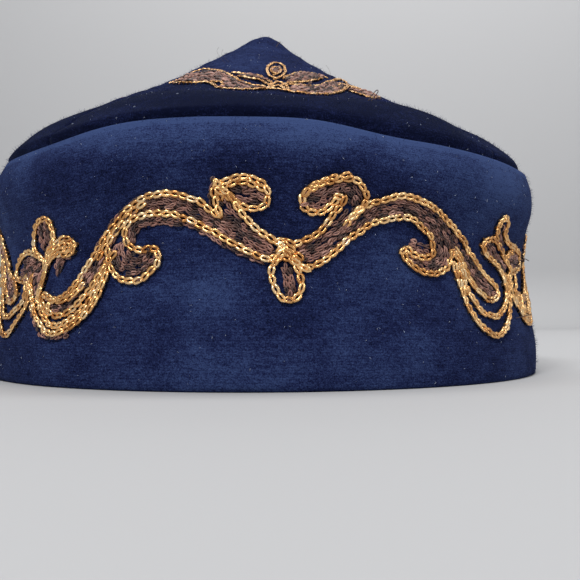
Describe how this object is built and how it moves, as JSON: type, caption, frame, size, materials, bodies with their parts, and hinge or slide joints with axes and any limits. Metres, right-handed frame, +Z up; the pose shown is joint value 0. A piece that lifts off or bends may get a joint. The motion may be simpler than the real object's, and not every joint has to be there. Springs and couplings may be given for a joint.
{
  "type": "tubeteika skullcap",
  "caption": "Velvet skullcap with a tall side band and a soft pointed crown of sewn wedge panels, worked in gold and brown chain stitch.",
  "frame": {"origin": "centre of the hem's plane, where the cap stands", "axes": "+Z up through the tip of the crown, -Y to the front, +X to the cap's right as seen from the front"},
  "size_m": [0.1832, 0.1832, 0.1209],
  "materials": {
    "velvet": "navy blue cut-pile velvet, soft sheen, cloudy nap",
    "gold_thread": "gold metallic thread in chain stitch",
    "brown_thread": "brown mauve thread in chain stitch, satin"
  },
  "bodies": {
    "root": {"side_band": "velvet", "crown_panel_front": "velvet", "crown_panel_right": "velvet", "crown_panel_back": "velvet", "crown_panel_left": "velvet"}
  },
  "joints": []
}
